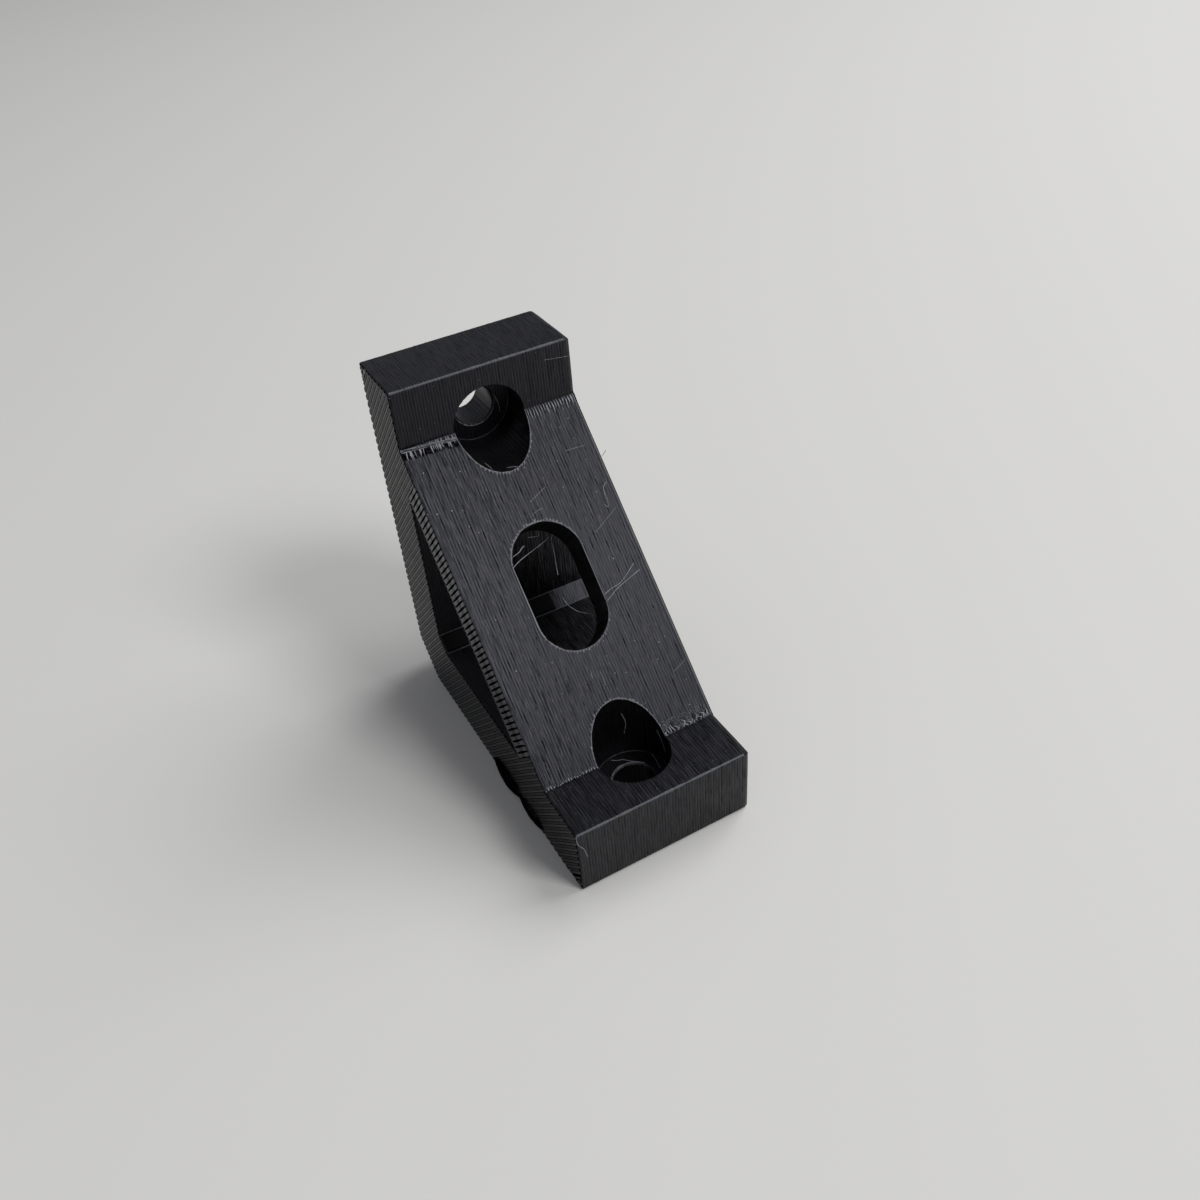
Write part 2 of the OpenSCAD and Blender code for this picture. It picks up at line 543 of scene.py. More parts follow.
class BRACKET_OT_printed_body(bpy.types.Operator):
    """Lay the bracket up from layers, each a rounded line, across its whole width."""

    bl_idname = "bracket.printed_body"
    bl_label = "Printed body"

    def execute(self, context):
        sizes = context.scene.bracket_sizes
        rng = np.random.default_rng(SEED)
        layers = round((HIGH[1] - LOW[1]) / sizes.layer)
        seams = LOW[1] + sizes.layer * np.arange(layers + 1)
        shoulder = 0.24 * sizes.layer
        # a hair's shift keeps the cuts off the solid's own corners, and the skins take the outermost layers
        hair = 7e-8
        cuts = np.sort(np.concatenate([seams, seams[:-1] + shoulder, seams[1:] - shoulder])) + hair
        margin = sizes.skin + shoulder / 2
        cuts = cuts[(cuts > LOW[1] + margin) & (cuts < HIGH[1] - margin)]
        relief = JunctionRelief(sizes, rng)
        points, faces, normals = merged_corners(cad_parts[NODE].data)
        down, _, _ = from_brace(sizes, points)
        points, corners, counts, normals, _ = slice_up(points, faces, normals, down, relief.cuts())
        faces, normals = fan(corners, counts, normals)
        points, corners, counts, normals, middle = slice_up(points, faces, normals, points[:, 1], cuts)
        wall = normals * np.array([1, 0, 1])
        # each point moves square to the walls that meet there, by its layer's depth
        way = np.zeros_like(points)
        np.add.at(way, corners, wall)
        way /= np.bincount(corners, minlength=len(points))[:, None]
        wander = rng.uniform(0, sizes.wander, layers)
        lean = rng.normal(0, sizes.lean, layers)
        depth, _ = layered_wall(points[:, 1], sizes.layer, sizes.groove, wander, lean)
        depth = depth + bed_inset(sizes, np.minimum(points[:, 1], HIGH[1] - sizes.skin))[0]
        down, across, out = from_brace(sizes, points)
        # at a sharp corner the mean of the walls is short, and the step is held back
        shortest = 0.4
        moved = points - way * (depth / np.maximum(np.sum(way ** 2, axis=1), shortest))[:, None]
        # on the brace's outer face the ends' relief is added
        touching = 1e-6
        flat = np.abs(out) < touching
        lift = np.where(flat, relief.height(down, across), 0)
        moved += lift[:, None] * on_brace_axes()[2]
        moved[:, 1] = np.clip(moved[:, 1], LOW[1] + sizes.skin, HIGH[1] - sizes.skin)
        # slopes of bead and relief lean each corner's normal, seen from just inside its own strip
        level = points[corners, 1]
        inside = 0.02
        _, slope = layered_wall(level + inside * (middle - level), sizes.layer, sizes.groove, wander, lean)
        slope = slope + bed_inset(sizes, level)[1]
        lean_by = normals + np.array([0, 1, 0]) * (slope * np.linalg.norm(wall, axis=1))[:, None]
        step = 0.02 * MM
        square = 0.99
        facing = (normals @ on_brace_axes()[2] > square) & flat[corners]
        fall = np.stack([relief.height(down + step, across) - relief.height(down - step, across),
                         relief.height(down, across + step) - relief.height(down, across - step)])
        fall = fall / (2 * step)
        lean_by -= facing[:, None] * (fall[:, corners].T @ on_brace_axes()[:2])
        lean_by /= np.linalg.norm(lean_by, axis=1, keepdims=True)
        body = finish_piece("printed_body", (moved, corners, counts),
                            layer_material("Black PLA, layer lines", sizes))
        body.data.normals_split_custom_set(lean_by)
        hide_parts(NODE)
        return {"FINISHED"}


def skin_lines(outline, window, spacing, tilt):
    """Straight lines at a tilt, clipped to an outline less a window.

    Line k lies at height k times the spacing across the tilt. It meets each edge where the edge passes that
    height, and its sorted meetings pair up into the stretches inside. Gives each stretch's line number,
    height and two ends along the tilt, and the turn into the tilted frame.
    """
    turn = np.array([[np.cos(tilt), np.sin(tilt)], [-np.sin(tilt), np.cos(tilt)]])
    loops = [corners @ turn.T for corners in (outline, window)]
    start = np.concatenate(loops)
    end = np.concatenate([np.roll(loop, -1, axis=0) for loop in loops])
    number = np.arange(np.floor(start[:, 1].min() / spacing), np.ceil(start[:, 1].max() / spacing))
    across = number * spacing
    run, rise = (end - start).T
    # a line never meets an edge that lies along it
    part = (across[:, None] - start[:, 1]) / np.where(rise == 0, np.inf, rise)
    along = np.where((part > 0) & (part <= 1), start[:, 0] + part * run, np.inf)
    along = np.sort(along, axis=1)
    along = along[:, :along.shape[1] // 2 * 2].reshape(len(number), -1, 2)
    line, stretch = np.nonzero(np.isfinite(along).all(axis=2))
    return number[line], across[line], along[line, stretch], turn


def skin_turns(number, across, ends, reach):
    """The U-turns that join neighbouring lines, at their far ends on even lines and near ends on odd ones.

    Gives the start and end of each turn and the way it bulges along the lines.
    """
    far = (number % 2 == 0)
    tip = np.where(far, ends[:, 1], ends[:, 0])
    partner = np.where(far[:, None], ends[None, :, 1], ends[None, :, 0])
    near = (number[None] - number[:, None] == 1) & (np.abs(partner - tip[:, None]) < reach)
    one, two = np.nonzero(near)
    start = np.stack([tip[one], across[one]], axis=1)
    end = np.stack([partner[one, two], across[two]], axis=1)
    return start, end, np.where(far[one], 1.0, -1.0)


def side_skin(sizes, side, tilt, share, style, rng):
    """Skin of one side, -1 left or 1 right: hatched lines and the turns at their ends.

    Every line is a flattened cord that stands on the body's side and reaches the part's full width. The
    share says how much of the line spacing a line fills. The style HATCH leaves out the short lines across
    the brace, and STITCH has only those, in pairs, knotted at both ends and thinner in the middle. BORDER
    has all the lines, and one along each outline too.
    """
    outward = np.array([0.0, side, 0.0])
    proud = 0.6 * sizes.skin
    level = (HIGH[1] if side > 0 else LOW[1]) - side * proud
    wall = sizes.wall_line if style == "BORDER" else 0
    # a bordered skin lies on the print bed's side, inside its rounded edge
    drawn_in = 0.45 * sizes.bed_round if wall else 0
    outline, window = inset(side_outline(sizes), drawn_in), inset(window_outline(sizes), -drawn_in)
    spacing = sizes.line_spacing
    half = share / 2 * spacing
    # where no border takes the turns up they end at the outline itself
    gap = wall + (1.1 if wall else 1.75) * half
    number, across, ends, turn = skin_lines(inset(outline, gap), inset(window, -gap), spacing, tilt)
    length = ends[:, 1] - ends[:, 0]
    # the lines across the brace are the short ones that end where most of the short ones do
    longest = 1.3 * sizes.brace_thickness
    short = length < longest
    banded = short & (np.abs(ends[:, 1] - np.median(ends[short, 1])) < gap)
    kept = {"HATCH": ~banded, "STITCH": banded, "BORDER": length > 0}[style] & (length > 2 * half)
    number, across, ends = number[kept], across[kept], ends[kept]
    stitched = style == "STITCH"
    # the two lines of a stitch lie closer together than the next two
    closer = 0.2 * spacing
    across = across + stitched * np.where(number % 2, -closer, closer)

    def stand(flat_points):
        """Flat points along and across the tilt, stood up on the face."""
        plane = flat_points @ turn
        return np.stack([plane[..., 0], np.full(plane.shape[:-1], level), plane[..., 1]], axis=-1)

    steps = np.linspace(0, 1, 10)
    along = ends[:, :1] + steps * (ends[:, 1:] - ends[:, :1])
    lines = stand(np.stack([along, np.broadcast_to(across[:, None], along.shape)], axis=-1))
    waist = 1 - 0.6 * stitched * hump(2 * steps - 1, width=0.42)
    swell = half * rng.uniform(0.9, 1.04, along.shape) * waist
    lift = np.where(number % 2, 1.0, 0.8) * rng.uniform(0.85, 1.0, len(number)) * proud
    parts = []
    for tall in np.unique(np.round(lift / proud, 1)):
        chosen = np.round(lift / proud, 1) == tall
        parts.append(sweep(lines[chosen], swell[chosen], outward, flat=tall * proud / half, sides=6))
    start, end, bulge = skin_turns(number, across, ends, 2 * spacing)
    bend = np.linspace(0, np.pi, 5)
    mix = (1 - np.cos(bend)) / 2
    arcs = start[:, None] + mix[:, None] * (end - start)[:, None]
    arcs[..., 0] += bulge[:, None] * half * np.sin(bend)
    thin = 0.8 * half
    parts.append(sweep(stand(arcs), np.full(arcs.shape[:2], thin), outward, flat=proud / thin, sides=6))
    for loop in (inset(outline, wall / 2), inset(window, -wall / 2)) if wall else ():
        edge = np.roll(loop, -1, axis=0) - loop
        pieces = np.maximum(np.round(np.linalg.norm(edge, axis=1) / MM).astype(int), 2)
        path = np.concatenate([start + np.linspace(0, 1, count, endpoint=False)[:, None] * way
                               for start, way, count in zip(loop, edge, pieces)])
        path = np.stack([path[:, 0], np.full(len(path), level), path[:, 1]], axis=-1)[None]
        wide = wall / 2 * rng.uniform(0.9, 1.02, path.shape[:2])
        parts.append(sweep(path, wide, outward, flat=proud / (wall / 2), sides=8, closed=True))
    return join(parts)


class BRACKET_OT_side_skins(bpy.types.Operator):
    """Lay the hatched skin on both sides: proud on the last layer, pressed flat on the bed's."""

    bl_idname = "bracket.side_skins"
    bl_label = "Side skins"

    def execute(self, context):
        sizes = context.scene.bracket_sizes
        rng = np.random.default_rng(SEED + 1)
        slant = np.pi / 4
        crease = np.radians(70)
        for name, side, tilt, share, style, dull, ior in (
                ("top_skin", -1, slant, 0.86, "HATCH", 0.42, 1.27),
                ("stitches", -1, slant, 0.8, "STITCH", 0.0, 1.6),
                ("bed_skin", 1, -slant, 1.02, "BORDER", 0.3, 1.31)):
            axis = (-np.sin(tilt), 0, np.cos(tilt))
            material = printed_material("Black PLA, " + name.replace("_", " "), axis, sizes.line_spacing,
                                        -sizes.line_spacing / 2, along=1.5 * MM, lean=0.1, dull=dull,
                                        ior=ior)
            finish_piece(name, side_skin(sizes, side, tilt, share, style, rng), material, crease)
        return {"FINISHED"}


def slot_rim(sizes, count):
    """Points around the slot where it meets the brace's outer face: two half circles joined by straights."""
    radius = sizes.slot_width / 2
    reach = sizes.slot_length / 2 - radius
    turn = full_turn(count)
    along = radius * np.cos(turn) + reach * np.sign(np.cos(turn))
    return on_brace(sizes, np.stack([along, radius * np.sin(turn), 0 * turn], axis=1))


def well_rim(sizes, count):
    """Points where the base's well climbs the brace: half a circle seen from above, on the slope."""
    turn = full_turn(count)
    reach = HIGH[0] - LOW[0] - sizes.bolt_inset + sizes.head_diameter / 2 * np.cos(turn)
    height = np.maximum(brace_sum(sizes) - reach, sizes.leg_thickness)
    rim = np.stack([reach + LOW[0], sizes.head_diameter / 2 * np.sin(turn), height + LOW[2]], axis=1)
    return rim[(count + 3) // 4:3 * count // 4 + 1]


def seat_ring(sizes, radius, count):
    """A circle round the base's bolt, on the seat under its head."""
    turn = full_turn(count)
    return np.stack([HIGH[0] - sizes.bolt_inset + radius * np.cos(turn), radius * np.sin(turn),
                     np.full(count, LOW[2] + sizes.head_seat)], axis=1)


def both_legs(points):
    """The base's points, and the same on the upright, where reach from the back and height trade places."""
    swapped = points[..., ::-1].copy()
    swapped[..., 0] += LOW[0] - LOW[2]
    swapped[..., 2] += LOW[2] - LOW[0]
    return np.stack([points, swapped])


# The line on the toe's front edge turns down the face: points out, across and up from the edge's left end
TOE_TURN = ([-0.16, 0.2, -0.16], [-0.02, 0.12, -0.8], [0.02, 0.3, -1.7], [0.02, 0.9, -2.75],
            [0.02, 1.1, -3.7], [-0.05, 1.3, -4.5])


def edge_lines(sizes, stations):
    """Cords along edges, each a straight run of points or a spline.

    Two lie on the front edges of the legs' ends, one turns down from the toe, one lies on the brace's edge,
    and the last two follow the edges of the bevel in the window's inner corner.
    """
    part = np.linspace(0, 1, stations)
    margin = 0.2 * MM
    across = LOW[1] + margin + part * (HIGH[1] - LOW[1] - margin - sizes.bed_round)
    level = np.ones(stations)
    length, thick, bevel = HIGH[0] - LOW[0], sizes.leg_thickness, sizes.window_bevel
    sunk = 0.24 * MM
    along = [np.stack([reach * level, across, height * level], axis=1)
             for reach, height in ((thick - sunk, length - sunk), (length - sunk, thick - sunk),
                                   (thick + bevel, thick), (thick, thick + bevel))]
    along = [path + np.array([LOW[0], 0, LOW[2]]) for path in along]
    turn = smooth_path(np.array(TOE_TURN) * MM, stations)
    turn += np.array([HIGH[0], LOW[1], LOW[2] + thick])
    # on the brace's rounded edge the cord lies as deep as the rounding there
    beside = HIGH[1] - 0.45 * sizes.bed_round
    edge = on_brace(sizes, np.stack([brace_half(sizes) * (2 * part - 1), beside * level,
                                     -bed_inset(sizes, beside)[0] * level], axis=1))
    return np.stack(along[:2] + [turn, edge] + along[2:])


def end_ticks(sizes, rng):
    """Short cords where the brace's lines stop: at the junctions, the wells and the slot.

    At a junction each cord starts at the brace's end and runs down or up the slope, some of them askew, with
    strands over the upper left hollow. At a hole the cords fray away from its rim.
    """
    half = brace_half(sizes)
    well = sizes.head_diameter / 2
    pitch = 2 * sizes.layer
    right = np.arange(well + 0.2 * MM, HIGH[1], pitch)
    left = rng.uniform(LOW[1] + 0.3 * MM, -well - 0.2 * MM, 22)
    low = np.arange(LOW[1] + 0.3 * MM, -well, pitch)
    # how far along its length each station of a cord lies, at a junction and at a hole
    from_end = np.array([0.06, 0.35, 0.7, 1.0])
    from_rim = np.array([0.0, 0.35, 0.7, 1.0])
    paths = []

    def lay(down, across, lift):
        """Lays cords from their stations' places down and across, and the lift along a cord."""
        out = np.broadcast_to(np.array(lift) * MM, down.shape)
        paths.append(on_brace(sizes, np.stack([down, across, out], axis=-1)))

    for end, across, shortest, longest, askew in ((-1, right, 0.8, 1.9, 0.05), (1, right, 0.4, 1.2, 0.25),
                                                  (1, low, 0.2, 0.6, 0.1), (-1, left, 1.2, 1.7, 0.08)):
        length = rng.uniform(shortest, longest, len(across)) * MM
        down = end * (half - from_end * length[:, None])
        shift = rng.uniform(-askew, askew, down.shape) * MM
        place = np.clip(across[:, None] + shift, LOW[1] + 0.2 * MM, HIGH[1] - sizes.bed_round)
        lay(down, place, [0.02, 0.1, 0.09, 0.0])
    round_end = sizes.slot_width / 2
    for radius, start, stretch, away in ((well, half, -np.sqrt(2), -1),
                                         (round_end, sizes.slot_length / 2 - round_end, 1, 1)):
        across = np.arange(0.3 * MM - radius, radius, pitch)
        rim = start + stretch * np.sqrt(radius ** 2 - across ** 2)
        for end in (-1, 1):
            length = rng.uniform(0.1, 0.45, len(across)) * MM
            down = end * (rim[:, None] + away * from_rim * length[:, None])
            lay(down, np.broadcast_to(across[:, None], down.shape), [0.0, 0.05, 0.04, 0.0])
    return np.concatenate(paths)


def uneven(rng, cords, stations, least):
    """Thickness that changes along each cord: slow swells between least and one, times a fine roughness."""
    knots = max(stations // 6, 2)
    slow = rng.uniform(least, 1.0, (cords, knots))
    at = np.linspace(0, knots - 1, stations)
    before = np.minimum(at.astype(int), knots - 2)
    part = at - before
    swell = (1 - part) * slow[:, before] + part * slow[:, before + 1]
    return swell * rng.uniform(0.7, 1.2, (cords, stations))


# Crest over the hollow at the brace's upper left: points down from the brace's end, across and out
CREST = ([0.22, -12.4, 0.2], [0.4, -10.5, 0.28], [0.5, -8.6, 0.26], [0.7, -6.8, 0.3], [0.85, -5.1, 0.25])

# How far the crest's three cords lie from those points, likewise
CREST_CORDS = ([[-0.16, 0, -0.03]], [[0, 0, 0]], [[0.17, 0, -0.04]])


class BRACKET_OT_rims(bpy.types.Operator):
    """Lay the thin raised lines that ring the slot and wells and run along the ends' edges and junctions,
    painted paler as highlights, and a dull sheet of painted shade in the window's inner corner.
    """

    bl_idname = "bracket.rims"
    bl_label = "Rims"

    def execute(self, context):
        sizes = context.scene.bracket_sizes
        colour = context.scene.bracket_colours
        rng = np.random.default_rng(SEED + 2)
        count = 240
        up = np.array([1.0, 0.3, 1.0])
        mouth = seat_ring(sizes, sizes.bolt_diameter / 2 + 0.22 * MM, count)
        loops = np.concatenate([slot_rim(sizes, count)[None], both_legs(mouth)])
        # the slot's rim is heaviest at its upper left, the mouths' at their back left
        heavy = 1 + 0.7 * np.cos(full_turn(count) - 1.25 * np.pi)
        wide = np.array([0.13, 0.07, 0.07])[:, None] * MM * heavy
        # each layer ends at the rim in a step of its own
        ragged = rng.uniform(0.4, 1.5, (len(loops), count))
        wide = wide * ragged * uneven(rng, len(loops), count, least=0.25)
        parts = [sweep(loops, wide, up, sides=6, closed=True)]
        arcs = both_legs(well_rim(sizes, count))
        ragged = 0.1 * MM * rng.uniform(0.5, 1.5, arcs.shape[:2])
        parts.append(sweep(arcs, ragged * uneven(rng, *arcs.shape[:2], least=0.3), up, sides=6))
        stations = 160
        edges = edge_lines(sizes, stations)
        wide = np.array([0.24, 0.24, 0.09, 0.09, 0.06, 0.06])[:, None] * MM
        wide = wide * (0.3 + 0.7 * uneven(rng, len(edges), stations, least=0.45))
        # the toe's turn and the brace's edge take the rims' paler colour, the other edge cords the edge
        # colour: all are painted highlights
        bright, dim = [2, 3], [0, 1, 4, 5]
        parts.append(sweep(edges[bright], wide[bright], up, sides=6))
        # the rims are drawn paler than the black body: painted highlights where light catches them
        finish_piece("rims", join(parts),
                     plain_material("Black PLA, lines painted bright", colour.line, roughness=0.32, ior=1.5))

        # a faint paler ring lies where the seat under each bolt's head meets the well's wall: a painted
        # highlight
        seats = both_legs(seat_ring(sizes, sizes.head_diameter / 2 - 0.04 * MM, count))
        seats = sweep(seats, 0.06 * MM * uneven(rng, len(seats), count, least=0.2), up, closed=True)
        finish_piece("edges", join([sweep(edges[dim], wide[dim], up), seats]),
                     plain_material("Black PLA, edges painted bright", colour.edge, roughness=0.5, ior=1.4))

        # a dull sheet paints the shade on the bevel in the window's inner corner, short of its right end,
        # which light reaches
        stations = 40
        corner = np.full(stations, sizes.leg_thickness + sizes.window_bevel / 2)
        across = np.linspace(LOW[1] + 0.3 * MM, 5.2 * MM, stations)
        shade_sheet = np.stack([LOW[0] + corner, across, LOW[2] + corner], axis=1)[None]
        wide = 0.66 * sizes.window_bevel * rng.uniform(0.96, 1.04, (1, stations))
        finish_piece("inner_corner", sweep(shade_sheet, wide, np.array([1.0, 0.0, 1.0]), flat=0.05),
                     plain_material("Black PLA, dull painted shade", colour.plastic, roughness=0.85, ior=1.2))

        # the ticks and the crest take the strings' pale colour: painted glints where the brace's lines end
        ticks = end_ticks(sizes, rng)
        taper = np.array([0.5, 1.0, 0.9, 0.4])
        wide = 0.1 * MM * rng.uniform(0.5, 1.2, (len(ticks), 1)) * taper
        parts = [sweep(ticks, wide, on_brace_axes()[2], sides=6)]
        stations = 110
        crests = smooth_path(np.array(CREST) * MM, stations) + np.array(CREST_CORDS) * MM
        crests = crests + rng.normal(0, 0.02 * MM, crests.shape)
        crests = on_brace(sizes, crests - np.array([brace_half(sizes), 0, 0]))
        wide = 0.07 * MM * uneven(rng, *crests.shape[:2], least=0.15)
        parts.append(sweep(crests, wide, up, sides=6))
        finish_piece("line_ends", join(parts),
                     plain_material("Black PLA, line ends painted bright", colour.strand, roughness=0.35, ior=1.5))
        return {"FINISHED"}


# Strings left as the nozzle crossed a hole, and wisps: points down the slope, across and out from the
# middle of the brace's outer face
BRACE_STRINGS = (
    ([1.3, 1.2, -4.6], [2.4, 1.5, -4.8], [3.2, 2.1, -5.0], [3.85, 2.75, -5.1], [4.65, 4.1, -5.2],
     [5.2, 4.25, -5.3], [5.8, 4.2, -5.4], [6.3, 4.5, -5.3]),
    ([-7.2, 3.65, -5.3], [-6.5, 3.1, -5.4], [-5.4, 2.85, -5.2], [-4.15, 2.55, -5.0], [-2.95, 2.15, -4.8],
     [-1.75, 1.8, -4.6]),
    ([-4.2, -4.95, -0.2], [-4.8, -3.7, -0.5], [-5.4, -1.9, -1.9], [-6.0, 0.1, -3.5], [-6.6, 2.0, -5.0],
     [-7.0, 3.0, -5.3]),
    ([-7.9, 0.2, -5.2], [-7.75, 0.9, -5.3], [-7.65, 1.75, -5.4], [-8.4, 1.8, -5.2]),
    ([-5.5, -4.6, -0.1], [-5.9, -3.2, -0.3], [-6.2, -2.75, -0.5], [-6.45, -2.15, -0.7]),
    ([3.2, 5.0, 0.0], [2.8, 6.3, 0.05], [2.45, 7.95, 0.05], [0.85, 10.5, 0.0]),
    ([4.15, 4.9, 0.0], [3.55, 6.1, 0.05], [3.0, 7.25, 0.05], [1.9, 10.95, 0.0]),
    ([-10.4, 11.5, 0.0], [-9.9, 10.8, 0.12], [-8.9, 10.55, 0.15], [-8.05, 10.55, 0.12], [-7.2, 10.3, 0.1],
     [-7.75, 10.0, 0.0]),
    ([-13.7, 12.0, 0.0], [-13.95, 12.6, 0.1], [-14.35, 13.15, 0.2]),
    ([-27.0, 3.05, -3.2], [-26.0, 3.4, -4.0], [-25.0, 3.5, -5.0]),
    ([-18.45, -2.3, -1.7], [-17.5, -2.1, -0.9], [-16.6, -2.15, -0.1]),
    ([-16.75, -0.15, -0.85], [-16.4, 0.9, -0.3], [-15.8, 1.9, 0.0]),
    ([18.05, 1.35, -1.85], [19.5, 1.8, -3.1], [20.85, 1.5, -4.6]),
    ([21.9, 4.65, -1.1], [23.4, 4.9, -1.7], [24.95, 5.0, -2.3]),
    ([23.4, -0.95, -6.65], [23.75, -0.3, -6.3], [23.95, 0.45, -6.1], [24.55, 1.25, -5.5], [25.0, 2.0, -5.05],
     [25.4, 2.6, -4.7]),
    ([24.8, 4.2, -5.25], [25.65, 4.1, -4.4], [26.7, 3.8, -3.35]),
)

# Light scratches on the brace's face, and one on the upright's front, likewise
SCRATCHES = (
    ([-16.1, 7.9, 0.0], [-16.05, 9.35, 0.02], [-15.95, 10.8, 0.0]),
    ([-11.4, 0.7, 0.0], [-12.0, 2.1, 0.02], [-12.55, 3.35, 0.0]),
    ([-12.15, 7.95, 0.0], [-10.6, 8.0, 0.04], [-6.85, 7.85, 0.0]),
    ([-4.75, 7.35, 0.0], [-5.75, 9.3, 0.02], [-6.85, 11.35, 0.0]),
    ([-9.75, 0.3, 0.0], [-10.0, 1.1, 0.03], [-10.1, 1.9, 0.0]),
    ([-9.75, 0.3, 0.0], [-9.4, 0.4, 0.03], [-8.95, 0.45, 0.0]),
    ([12.0, 0.35, 0.0], [12.95, 0.35, 0.04], [13.95, 0.25, 0.0]),
    ([11.8, -0.85, 0.0], [12.15, -0.9, 0.04], [12.55, -0.95, 0.0]),
    ([15.85, 9.7, 0.0], [15.45, 10.75, 0.02], [15.0, 11.8, 0.0]),
    ([-27.25, 8.55, 4.2], [-27.05, 10.25, 4.03], [-26.9, 11.9, 3.85]),
)


class BRACKET_OT_strings(bpy.types.Operator):
    """Draw the thin strings left across the slot and wells, and the wisps and scratches on the brace."""

    bl_idname = "bracket.strings"
    bl_label = "Strings"

    def execute(self, context):
        sizes = context.scene.bracket_sizes
        rng = np.random.default_rng(SEED + 3)
        stations = 28
        cords = BRACE_STRINGS + SCRATCHES
        paths = on_brace(sizes, [smooth_path(np.array(points) * MM, stations) for points in cords])
        string, scratch = 0.045 * MM, 0.02 * MM
        wide = np.where(np.arange(len(cords)) < len(BRACE_STRINGS), string, scratch)[:, None]
        radii = wide * rng.uniform(0.6, 1.3, paths.shape[:2])
        colour = context.scene.bracket_colours.strand
        finish_piece("strings", sweep(paths, radii, np.array([0.3, 0.2, 1.0]), sides=6),
                     plain_material("PLA strings, pulled thin", colour, roughness=0.4, ior=1.46))
        return {"FINISHED"}


# Loose lines along the base's lower left edge: points from the back, across and up, then half width
CURLS = (
    (([25.6, -12.5, 0.9], [27.5, -12.75, 1.0], [29.8, -12.95, 0.95], [31.8, -12.9, 0.9], [34.0, -12.5, 0.9]),
     0.27),
    (([27.0, -12.5, 2.2], [28.6, -12.62, 2.1], [30.6, -12.7, 1.9], [32.6, -12.6, 1.8], [33.4, -12.5, 1.8]),
     0.2),
    (([33.4, -12.5, 0.8], [35.2, -12.7, 0.9], [37.0, -12.8, 0.9], [38.8, -12.68, 0.8], [40.4, -12.5, 0.8]),
     0.24),
)


class BRACKET_OT_curls(bpy.types.Operator):
    """Curl the loose lines out along the lower left edge of the base."""

    bl_idname = "bracket.curls"
    bl_label = "Curls"

    def execute(self, context):
        sizes = context.scene.bracket_sizes
        rng = np.random.default_rng(SEED + 4)
        stations = 30
        paths = np.stack([smooth_path(np.array(points) * MM, stations) for points, _ in CURLS])
        paths[..., 0] += LOW[0]
        # a curl's ends are blunt: its taper starts and stops a little inside a half turn of the sine
        blunt = 0.12
        taper = np.sin(np.linspace(blunt, np.pi - blunt, stations)) ** 0.5
        radii = np.array([half for _, half in CURLS])[:, None] * MM * taper
        radii = radii * rng.uniform(0.9, 1.05, radii.shape)
        finish_piece("curls", sweep(paths, radii, np.array([0.0, 0.0, 1.0]), flat=2.6, sides=12),
                     layer_material("Black PLA, loose lines", sizes))
        return {"FINISHED"}


def off_openings(sizes, points, margin):
    """Whether points on the brace keep a margin from its holes.

    The slot is a strip with round ends, and the wells are half ellipses at the brace's two ends.
    """
    down, across = np.abs(points[:, 0]), np.abs(points[:, 1])
    radius = sizes.slot_width / 2
    beyond = np.maximum(down - sizes.slot_length / 2 + radius, 0)
    aside = np.hypot((brace_half(sizes) - down) / np.sqrt(2), across)
    return (np.hypot(beyond, across) > radius + margin) & (aside > sizes.head_diameter / 2 + margin)


def specks(rng, place, first, second, longest, thickest, spread=np.pi):
    """Specks lying on a flat face: short spindles.

    Each is turned from the face's first direction to its second by a random angle within the spread.
    """
    turn = rng.uniform(-spread / 2, spread / 2, len(place))[:, None]
    way = np.cos(turn) * first + np.sin(turn) * second
    length = rng.uniform(0.3, 1.0, (len(place), 1)) * longest
    paths = place[:, None] + np.array([-1, 0, 1])[:, None] * (length * way)[:, None]
    radii = rng.uniform(0.4, 1.0, (len(place), 1)) * thickest * np.array([0.3, 1, 0.3])
    return sweep(paths, radii, np.cross(first, second), sides=5)


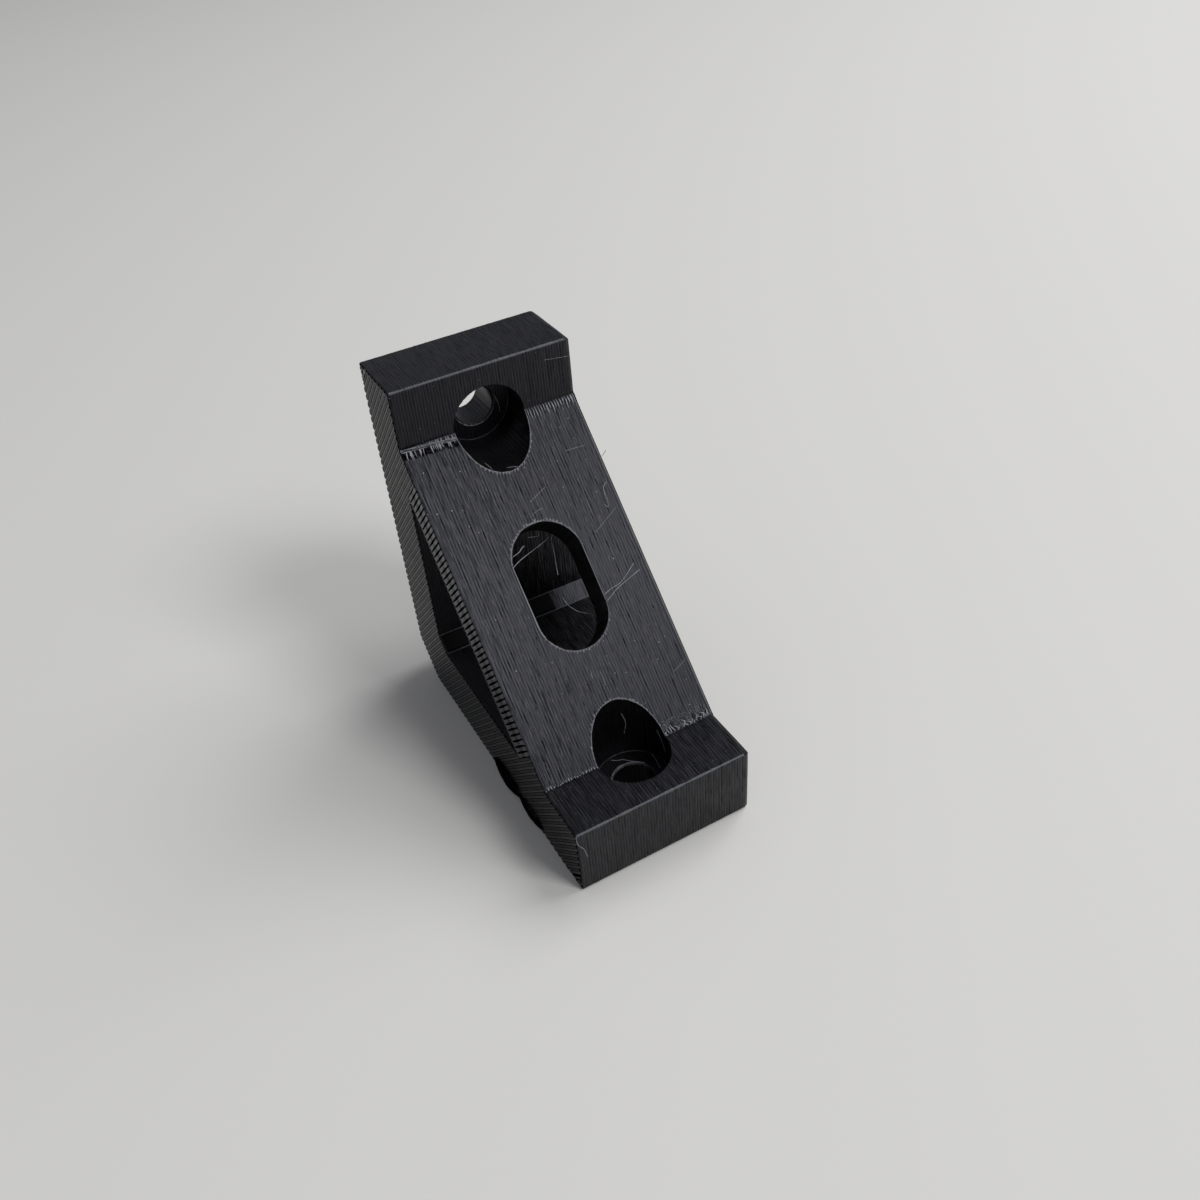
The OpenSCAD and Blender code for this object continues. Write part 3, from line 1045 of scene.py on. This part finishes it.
class BRACKET_OT_dust(bpy.types.Operator):
    """Scatter dust on the brace, and pale specks that paint glints: crumbs at its lower end and on the feet,
    and flecks along its lines.
    """

    bl_idname = "bracket.dust"
    bl_label = "Dust"

    def execute(self, context):
        sizes = context.scene.bracket_sizes
        colour = context.scene.bracket_colours
        rng = np.random.default_rng(SEED + 5)
        half = brace_half(sizes)
        well = sizes.head_diameter / 2
        slope, width, _ = on_brace_axes()
        along, up = np.array([1.0, 0.0, 0.0]), np.array([0.0, 0.0, 1.0])
        end = HIGH[1] - sizes.bed_round

        def scatter(count, low, high):
            """Points spread evenly between two corners."""
            return rng.uniform(np.array(low), np.array(high), (count, len(low)))

        def kept(points, margin):
            """Those points on the brace that don't hang over a hole."""
            return on_brace(sizes, points[off_openings(sizes, points, margin)])

        loose = kept(scatter(46, (-half, LOW[1], 0), (half, end, 0)), 0.4 * MM)
        inner, side = half - 0.4 * MM, HIGH[1] - 0.5 * MM
        painted_glints = kept(scatter(900, (-inner, -side, 0), (inner, side, 0)), 0.6 * MM)
        crumbs_painted_bright = kept(scatter(260, (half - 1.9 * MM, well + 0.1 * MM, 0), (half, end, 0)), 0)
        # round the slot and the lower well pale bits lie scattered off the rim's line: painted glints
        count = 150
        ring = np.concatenate([slot_rim(sizes, count), well_rim(sizes, count)])
        stray = 0.2 * MM
        bits = np.stack(from_brace(sizes, ring), axis=1)
        bits = bits + scatter(len(ring), (-stray, -stray, 0), (stray, stray, 0.04 * MM))
        bits = kept(bits, -0.05 * MM)
        bare, top = sizes.foot_length, LOW[2] + sizes.leg_thickness
        foot = scatter(34, (HIGH[0] - bare, LOW[1], top), (HIGH[0] - 0.4 * MM, end, top))
        foot = foot[np.hypot(foot[:, 0] - HIGH[0] + sizes.bolt_inset, foot[:, 1]) > well]
        face = LOW[0] + sizes.leg_thickness
        front = scatter(24, (face, LOW[1], HIGH[2] - bare), (face, end, HIGH[2] - 0.4 * MM))
        front = front[np.hypot(front[:, 2] - HIGH[2] + sizes.bolt_inset, front[:, 1]) > well]
        dust = specks(rng, loose, slope, width, longest=0.1 * MM, thickest=0.06 * MM)
        fine = join([specks(rng, painted_glints, slope, width, longest=0.7 * MM, thickest=0.022 * MM, spread=0.03),
                     specks(rng, bits, slope, width, longest=0.16 * MM, thickest=0.07 * MM)])
        dim = join([specks(rng, crumbs_painted_bright, slope, width, longest=0.12 * MM, thickest=0.065 * MM),
                    specks(rng, foot, along, width, longest=0.14 * MM, thickest=0.045 * MM),
                    specks(rng, front, width, up, longest=0.14 * MM, thickest=0.045 * MM)])
        # the dust keeps its own pale colour; the crumbs and flecks take the lines' paler colour as painted
        # glints
        for name, shape, code in (("dust", dust, colour.dust), ("crumbs_painted_bright", dim, colour.line),
                                  ("painted_glints", fine, colour.line)):
            finish_piece(name, shape, plain_material("Specks, " + name, code, roughness=0.7, ior=1.4))
        return {"FINISHED"}


class BRACKET_OT_stage(bpy.types.Operator):
    """Set the pale floor, the soft lights and the camera."""

    bl_idname = "bracket.stage"
    bl_label = "Stage"

    def execute(self, context):
        scene = context.scene
        colour = scene.bracket_colours
        wide = 1.5
        drop = 0.00002
        corners = np.array([[-wide, -wide], [wide, -wide], [wide, wide], [-wide, wide]])
        points = np.column_stack([corners, np.full(4, LOW[2] - drop)])
        floor = bpy.data.objects.new("floor", mesh_from_faces("floor", points, np.arange(4), np.array([4])))
        scene.collection.objects.link(floor)
        floor.data.materials.append(plain_material("Matt paper", colour.floor, roughness=0.9, ior=1.3))

        world = bpy.data.worlds.new("soft_room")
        scene.world = world
        world.use_nodes = True
        world.node_tree.nodes["Background"].inputs["Color"].default_value = linear(colour.sky)
        world.node_tree.nodes["Background"].inputs["Strength"].default_value = 0.3

        # a soft light overhead, and a smaller one at the right whose reflection brings out the brace
        for name, place, size, power in (("overhead", (-0.10, 0.80, 0.96), 0.9, 9.4),
                                         ("key", (0.77, 0.42, 0.89), 0.4, 7.0)):
            light = bpy.data.lights.new(name, "AREA")
            light.size = size
            light.energy = power
            lamp = bpy.data.objects.new(name, light)
            lamp.location = place
            lamp.rotation_euler = (-Vector(place)).to_track_quat("-Z", "Y").to_euler()
            scene.collection.objects.link(lamp)

        camera = bpy.data.cameras.new("camera")
        camera.lens = 33.529
        camera.sensor_width = 36
        camera.clip_start = 0.001
        viewer = bpy.data.objects.new("camera", camera)
        viewer.location = (0.10398, -0.04465, 0.11484)
        viewer.rotation_euler = Euler(np.radians([50.741, 4.077, 60.702]))
        scene.collection.objects.link(viewer)
        scene.camera = viewer
        scene.view_settings.view_transform = "Standard"
        return {"FINISHED"}


class BRACKET_PT_panel(bpy.types.Panel):
    """Lists the pieces in the 3D view's sidebar."""

    bl_idname = "BRACKET_PT_panel"
    bl_label = "Corner bracket"
    bl_space_type = "VIEW_3D"
    bl_region_type = "UI"
    bl_category = "Bracket"

    def draw(self, context):
        for operator in OPERATORS:
            self.layout.operator(operator.bl_idname)
        for group in (context.scene.bracket_sizes, context.scene.bracket_colours):
            for name in type(group).__annotations__:
                self.layout.prop(group, name)


OPERATORS = (BRACKET_OT_printed_body, BRACKET_OT_side_skins, BRACKET_OT_rims, BRACKET_OT_strings,
             BRACKET_OT_curls, BRACKET_OT_dust, BRACKET_OT_stage)
CLASSES = (BracketSizes, BracketColours, *OPERATORS, BRACKET_PT_panel)


def register():
    """Registers the classes and hangs the two groups of properties on the scene."""
    for one in CLASSES:
        bpy.utils.register_class(one)
    bpy.types.Scene.bracket_sizes = bpy.props.PointerProperty(type=BracketSizes)
    bpy.types.Scene.bracket_colours = bpy.props.PointerProperty(type=BracketColours)


def unregister():
    """Takes them away again."""
    del bpy.types.Scene.bracket_colours
    del bpy.types.Scene.bracket_sizes
    for one in reversed(CLASSES):
        bpy.utils.unregister_class(one)


def main():
    """Registers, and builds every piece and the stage."""
    register()
    bpy.ops.bracket.printed_body()
    bpy.ops.bracket.side_skins()
    bpy.ops.bracket.rims()
    bpy.ops.bracket.strings()
    bpy.ops.bracket.curls()
    bpy.ops.bracket.dust()
    bpy.ops.bracket.stage()


if __name__ == "__main__":
    main()
